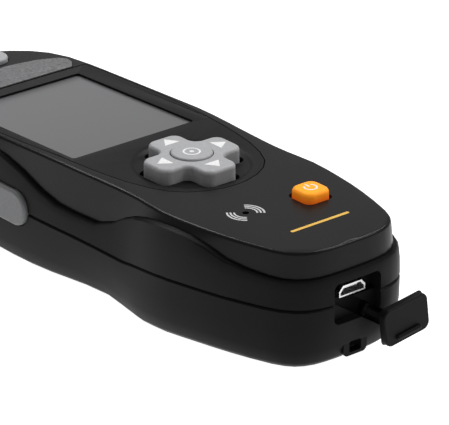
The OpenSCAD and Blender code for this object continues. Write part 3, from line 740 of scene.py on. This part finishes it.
# %% [markdown]
# ## Four-way key
# The key is a plus with fat rounded lobes. A block for the middle gets a lobe
# extruded from each side. The flat faces are merged, so that the top is one face with
# one outline. Then three bevels follow: the outer corners, the inner corners, and last
# the top rim, which runs round all of them in one soft roll.

# %% Model the four-way key
NAV_Y = -20.0
FACE_Z = 32.0
nav_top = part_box("nav_key")[1].z / MM
lobe = 9.4 / 2
reach = 23.4 / 2

nav = start_block("nav_key_rocker", (-lobe, NAV_Y - lobe, 27.9), (lobe, NAV_Y + lobe, nav_top))
for side in ((1, 0, 0), (-1, 0, 0), (0, 1, 0), (0, -1, 0)):
    outward = Vector(side)
    root = Vector((0, NAV_Y, 0)) + outward * lobe
    push(nav, lambda middle, way: math.hypot(middle.x - root.x, middle.y - root.y) < 1,
         outward * (reach - lobe))
merge_flats(nav)


def upright(way):
    return abs(way.z) > 0.99


def from_nav(middle):
    return math.hypot(middle.x, middle.y - NAV_Y)


outer = round_edges(nav, lambda middle, way: upright(way) and from_nav(middle) > 10, 2.5, 8)
inner = round_edges(nav, lambda middle, way: upright(way) and from_nav(middle) < 7.5, 2.2, 7)
rim = round_edges(nav, lambda middle, way: at_top(middle, nav_top), 1.0, 6)
print("corners outside, inside, edges of the rim:", outer, inner, rim)

# %% [markdown]
# ## Hole and foot of the four-way key
# A cutter opens the middle for the round key. Out of sight below, a cross-shaped foot
# keeps the key in the casing, and four plungers press on the snap domes.

# %% Open the key and give it its foot
cut(nav, start_rod("nav_hole", (0, NAV_Y, 27), 5.1, 9, 64))
round_edges(nav, lambda middle, way: at_top(middle, nav_top) and from_nav(middle) < 5.2, 0.25, 2)
nav_foot = start_block("nav_foot", (-12.6, NAV_Y - 5.6, 27.2), (12.6, NAV_Y + 5.6, 27.95))
nav_cross = start_block("nav_cross", (-5.6, NAV_Y - 12.6, 27.2), (5.6, NAV_Y + 12.6, 27.9))
shape_with(nav_foot, "BOOLEAN", operation="UNION", solver="EXACT", object=nav_cross)
bpy.data.objects.remove(nav_cross)
cut(nav_foot, start_rod("nav_foot_hole", (0, NAV_Y, 26), 5.3, 4, 64))
round_edges(nav_foot, lambda middle, way: upright(way) and from_nav(middle) > 7, 1.2, 3)
plungers = []
for x, y in ((9.6, 0), (-9.6, 0), (0, 9.6), (0, -9.6)):
    plunger = start_rod("nav_plunger", (x, NAV_Y + y, 26.15), 1.0, 1.2, 24)
    round_edges(plunger, lambda middle, way: middle.z < 26.2, 0.2, 2)
    plungers.append(plunger)
join(nav, nav_foot, *plungers)
settle(nav, "nav_key", key_pale_grey)
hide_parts("nav_key")

# %% [markdown]
# ## Round centre key
# It stands a touch higher than the lobes, and its top is very slightly dished for the
# fingertip. The blank is a rod. Its top face is inset twice and the innermost face is
# moved down a tenth of a millimetre, before the rim gets its bevel.

# %% Model the centre key
enter_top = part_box("enter_key")[1].z / MM
enter = start_rod("enter_key_button", (0, NAV_Y, 27.4), 4.9, enter_top - 27.4, 64)
pick(enter, "FACE", lambda middle, way: way.z > 0.99)
bpy.ops.mesh.inset(thickness=1.2 * MM)
bpy.ops.mesh.inset(thickness=1.4 * MM)
bpy.ops.transform.translate(value=(0, 0, -0.1 * MM))
deselect_all()
round_edges(enter, lambda middle, way: at_top(middle, enter_top) and from_nav(middle) > 4.7, 0.5, 5)
enter_stem = start_rod("enter_stem", (0, NAV_Y, 26.25), 1.2, 1.3, 24)
round_edges(enter_stem, lambda middle, way: middle.z < 26.3, 0.2, 2)
join(enter, enter_stem)
settle(enter, "enter_key", key_pale_grey)
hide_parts("enter_key")

# %% [markdown]
# ## Power key
# A square orange button with round corners, standing 2.2 mm proud. The block gets its
# four uprights rounded first and then the whole top rim, wide, because on the real key
# the top is a soft pillow. The sides lean in slightly: silicone needs draft to leave
# the mould.

# %% Model the power key
POWER = (8.7, -51.7)
power_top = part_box("power_key")[1].z / MM
half = 7.4 / 2
power = start_block("power_key_button", (POWER[0] - half, POWER[1] - half, 27.9),
                    (POWER[0] + half, POWER[1] + half, power_top))
round_edges(power, lambda middle, way: upright(way), 2.3, 8)
pick(power, "FACE", lambda middle, way: way.z > 0.99)
bpy.ops.transform.resize(value=(0.97, 0.97, 1),
                         center_override=(POWER[0] * MM, POWER[1] * MM, power_top * MM))
deselect_all()
round_edges(power, lambda middle, way: at_top(middle, power_top), 1.0, 7)
power_foot = start_block("power_foot", (POWER[0] - 4.7, POWER[1] - 4.7, 27.3),
                         (POWER[0] + 4.7, POWER[1] + 4.7, 27.95))
round_edges(power_foot, lambda middle, way: upright(way), 2, 4)
power_stem = start_rod("power_stem", (*POWER, 26.3), 1.2, 1.1, 24)
round_edges(power_stem, lambda middle, way: middle.z < 26.35, 0.2, 2)
join(power, power_foot, power_stem)
settle(power, "power_key", key_orange)
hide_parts("power_key")

# %% [markdown]
# ## Oval keys on the flank and on the head
# Both are long ovals. A block whose four corner edges are bevelled by almost half its
# width becomes one. The flank key lies on its side, so its corner edges run along X.
# Both get a soft rim, and a flange below that keeps them in the casing.

# %% Model the oval key on the flank
flank_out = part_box("measure_key")[0].x / MM
mid_y, mid_z = 21.8, 16.5


def along_x(way):
    return abs(way.x) > 0.99


flank = start_block("measure_key_button", (flank_out, mid_y - 12, mid_z - 4.4),
                    (-21.8, mid_y + 12, mid_z + 4.4))
round_edges(flank, lambda middle, way: along_x(way), 4.38, 16)
round_edges(flank, lambda middle, way: middle.x < flank_out + NEAR, 0.9, 6)
flank_flange = start_block("measure_flange", (-21.9, mid_y - 13, mid_z - 5.3),
                           (-21.3, mid_y + 13, mid_z + 5.3))
round_edges(flank_flange, lambda middle, way: along_x(way), 4.4, 8)
flank_stem = start("measure_stem", bpy.ops.mesh.primitive_cylinder_add, vertices=24, radius=1.6 * MM,
                   depth=1.2 * MM, location=Vector((-20.9, mid_y, mid_z)) * MM,
                   rotation=(0, math.radians(90), 0))
round_edges(flank_stem, lambda middle, way: middle.x > -20.35, 0.2, 2)
join(flank, flank_flange, flank_stem)
settle(flank, "measure_key", key_mid_grey)
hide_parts("measure_key")

# %% [markdown]
# ## Oval key on the head
# It lies flat, so its corner edges stand upright. Two short stems under its flange
# press on the board.

# %% Model the oval key on the head
head_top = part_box("head_key")[1].z / MM
HEAD_Y = 66.6
head = start_block("head_key_button", (-10.3, HEAD_Y - 3.7, 25.4), (10.3, HEAD_Y + 3.7, head_top))
round_edges(head, lambda middle, way: upright(way), 3.68, 14)
round_edges(head, lambda middle, way: at_top(middle, head_top), 0.9, 6)
head_flange = start_block("head_flange", (-11.2, HEAD_Y - 4.6, 24.9), (11.2, HEAD_Y + 4.6, 25.45))
round_edges(head_flange, lambda middle, way: upright(way), 4.5, 8)
head_stems = []
for x in (-7, 7):
    stem = start_rod("head_stem", (x, HEAD_Y, 23.7), 1.1, 1.3, 24)
    round_edges(stem, lambda middle, way: middle.z < 23.75, 0.2, 2)
    head_stems.append(stem)
join(head, head_flange, *head_stems)
settle(head, "head_key", key_pale_grey)
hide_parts("head_key")

# %% [markdown]
# ## Printed marks
# All marks are films 0.04 mm thick that lie on their surface, sunk into it by a
# hundredth of a millimetre or less. Marks ride on what they are printed on. An arrow starts as
# a circle with three sides, whose tip is moved in a little to make it blunter.

# %% Arrows on the four-way key
FILM = 0.04
SINK = 0.01
FACE_SINK = 0.005
DISH = 0.1


def flat_disc(name, centre, radius, sides):
    """A filled circle, in millimetres."""
    return start(name, bpy.ops.mesh.primitive_circle_add, vertices=sides, radius=radius * MM,
                 fill_type="NGON", location=Vector(centre) * MM)


def thicken(piece):
    """Pulls a flat mark up into a film."""
    pick(piece, "FACE", lambda middle, way: True)
    bpy.ops.mesh.extrude_region_move(TRANSFORM_OT_translate={"value": (0, 0, FILM * MM)})
    deselect_all()
    face_out(piece)


arrow = flat_disc("nav_arrow", (0, NAV_Y + 8.3, nav_top - SINK), 2.5, 3)
pick(arrow, "VERT", lambda middle, way: middle.y > NAV_Y + 9)
bpy.ops.transform.translate(value=(0, -0.6 * MM, 0))
deselect_all()
thicken(arrow)
round_edges(arrow, lambda middle, way: upright(way), 0.2, 3)
for number in range(4):
    mark = copy_of(arrow, f"nav_arrow_{number + 1}")
    mark.matrix_world = (Matrix.Translation((0, NAV_Y * MM, 0)) @
                         Matrix.Rotation(math.radians(90 * number), 4, "Z") @
                         Matrix.Translation((0, -NAV_Y * MM, 0)))
    settle(mark, "nav_key", ink_white)
bpy.data.objects.remove(arrow)

# %% [markdown]
# ## Rings and parts of rings
# A disc gets a smaller disc inset in its face, the inner face is dropped, and a ring is
# left. Where only part of the ring is wanted, as in the sound arcs and in the gap of
# the power sign, the faces are picked by their angle round the centre, so no cutter is
# needed.

# %% A helper for printed rings
def ring_film(name, centre, radius, width, keep=None, sides=72):
    """A printed ring, or the part of it whose angle passes the test keep."""
    piece = flat_disc(name, centre, radius + width / 2, sides)
    pick(piece, "FACE", lambda middle, way: True)
    bpy.ops.mesh.inset(thickness=width * MM)
    bpy.ops.mesh.delete(type="FACE")
    deselect_all()
    if keep:
        pick(piece, "FACE", lambda middle, way: not keep(
            math.degrees(math.atan2(middle.y - centre[1], middle.x - centre[0]))))
        bpy.ops.mesh.delete(type="FACE")
        deselect_all()
    thicken(piece)
    return piece


print("ring films ready")

# %% [markdown]
# ## Signs on the centre key and the power key
# The centre key has a ring with a dot, the power key an open ring with a bar, both
# in white ink. Each sign is one joined piece and moves with its key.

# %% Ring with a dot and power sign
enter_ring = ring_film("enter_ring", (0, NAV_Y, enter_top - DISH - SINK), 1.9, 0.45)
enter_dot = flat_disc("enter_dot", (0, NAV_Y, enter_top - DISH - SINK), 0.55, 32)
thicken(enter_dot)
join(enter_ring, enter_dot)
settle(enter_ring, "enter_key", ink_white)

power_level = power_top - SINK
power_ring = ring_film("power_sign", (*POWER, power_level), 1.45, 0.42, lambda a: abs(a - 90) > 38)
power_bar = start_block("power_bar", (POWER[0] - 0.21, POWER[1] + 0.35, power_level),
                        (POWER[0] + 0.21, POWER[1] + 2.0, power_level + FILM))
round_edges(power_bar, lambda middle, way: upright(way), 0.2, 4)
join(power_ring, power_bar)
settle(power_ring, "power_key", ink_white)

# %% [markdown]
# ## Sound arcs
# Three arcs on either side of the buzzer hole say that sound comes out here. They lie
# on one centre, each a little wider than the last, and open to the left and right.

# %% Sound arcs round the buzzer hole
BUZZER = (-8.5, -49.5)
FAN = 7
for number, radius in enumerate((2.6, 3.4, 4.2), 1):
    for side, turn in (("right", 0), ("left", 180)):
        def in_fan(angle, middle_angle=FAN + turn):
            return abs((angle - middle_angle + 180) % 360 - 180) < 46

        arc = ring_film(f"sound_arc_{side}_{number}", (*BUZZER, FACE_Z - FACE_SINK), radius, 0.42, in_fan)
        settle(arc, "housing", ink_soft_white)

# %% [markdown]
# ## Amber bar
# The plain space by the power key gets one straight amber bar, the only other colour
# on the face. It is a generic mark: a slim block with fully round ends.

# %% Model the amber bar
bar = start_block("amber_bar", (-7.5, -64.3, FACE_Z - FACE_SINK),
                  (9.5, -63.4, FACE_Z - FACE_SINK + FILM))
round_edges(bar, lambda middle, way: upright(way), 0.44, 6)
settle(bar, "housing", ink_amber)

# %% [markdown]
# ## Socket cover
# The rubber cover is a plate with round corners and a pull ridge near its lower edge.
# Closed, it fills the recess. In the photograph it is pulled out and hangs askew from
# its strap. The simplest way is to model it closed, where all its faces are square,
# and then to swing the finished plate out with the same turn as the solid model's.

# %% Model the socket cover
OUT = -78.1
plate = start_block("socket_cover", (-6.5, OUT, 14.2), (6.5, OUT + 1.9, 23.4))
round_edges(plate, lambda middle, way: abs(way.y) > 0.99, 1.9, 8)
pick(plate, "FACE", lambda middle, way: way.y < -0.99)
bpy.ops.mesh.inset(thickness=0.9 * MM)
bpy.ops.transform.translate(value=(0, 0.12 * MM, 0))
deselect_all()
round_edges(plate, lambda middle, way: middle.y < OUT + NEAR and abs(way.y) < 0.5, 0.4, 4)
ridge = start_block("cover_ridge", (-3.6, OUT - 0.7, 15.3), (3.6, OUT + 0.4, 16.5))
round_edges(ridge, lambda middle, way: middle.y < OUT - 0.69 or abs(way.y) > 0.99, 0.5, 4)
plug_ring = start_block("cover_lip", (-5.2, OUT + 1.8, 18.7), (5.2, OUT + 2.0, 23.0))
round_edges(plug_ring, lambda middle, way: abs(way.y) > 0.99, 1.0, 4)
join(plate, ridge, plug_ring)

# %% [markdown]
# ## Swing the cover out
# The plate is turned and moved just as the two hinges of its strap do it, which needs
# one turn and two points: where the end of the strap is when closed, and where it is
# when open. Both come from the record's joints and the strap's length. The small lugs
# on its back must fit the strap's pin exactly, so they are taken from the solid model,
# cut off at the back of the plate.

# %% Swing the cover out and give it its knuckles
STRAP_LENGTH = 7.3
STRAP_WAY = Vector((0.829, 0, -0.56))
LEAN = math.radians(-7.49)
joints = {joint["name"]: joint for joint in frame["record"]["behaviour"]["joints"]}
closed_tip = Vector(joints["flap_swing"]["pos_m"]) / MM - STRAP_LENGTH * STRAP_WAY
open_tip = Vector(joints["flap_turn"]["pos_m"]) / MM
plate.matrix_world = (Matrix.Translation(open_tip * MM) @
                      Matrix.Rotation(LEAN, 4, "Y") @
                      Matrix.Translation(-closed_tip * MM))
freeze(plate)
knuckles = merged_copy("usb_flap", "cover_knuckles")
pick(knuckles, "VERT", lambda middle, way: True)
bpy.ops.mesh.select_all(action="SELECT")
plate_back = open_tip.y - closed_tip.y + OUT + 1.85
bpy.ops.mesh.bisect(plane_co=(0, plate_back * MM, 0), plane_no=(0, 1, 0), use_fill=True,
                    clear_inner=True)
deselect_all()
join(plate, knuckles)
settle(plate, "usb_flap", flap_rubber)
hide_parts("usb_flap")
node_low, node_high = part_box("usb_flap")
print("node's box:", [round(v / MM, 1) for v in (*node_low, *node_high)])

# %% [markdown]
# ## What is left of the solid model
# The pieces that need no softer shape stay as they are in the solid model and only get
# their finish: the boards, the optics, the screws, the battery and so on. Each node
# names its finish slot in the record, so one table from slot to finish dresses them.

# %% Dress the remaining nodes
finishes = {
    "case_black": case_black, "grip_black": grip_black, "case_black_lower": case_black_lower,
    "panel_black": panel_black, "accent_grey": accent_grey, "display_glass": display_glass,
    "foam_black": foam_black, "display_metal": display_metal, "key_pale_grey": key_pale_grey,
    "silicone_grey": silicone_grey, "key_orange": key_orange, "key_mid_grey": key_mid_grey,
    "board_green": board_green, "dome_steel": dome_steel, "brass_pillar": brass_pillar,
    "socket_steel": socket_steel, "flap_rubber": flap_rubber, "buzzer_black": buzzer_black,
    "battery_wrap": battery_wrap, "lead_red": lead_red, "screw_steel": screw_steel,
    "optics_white": optics_white, "aperture_aluminium": aperture_aluminium,
    "optics_glass": optics_glass, "lamp_board": lamp_board, "foot_rubber": foot_rubber,
    "flex_amber": flex_amber,
}
for part in frame["record"]["subparts"]:
    node = nodes[part["node"]]
    for index in range(len(node.data.materials)):
        node.data.materials[index] = finishes[part["material_slot"]]
print(len(finishes), "finishes on", len(nodes), "nodes")
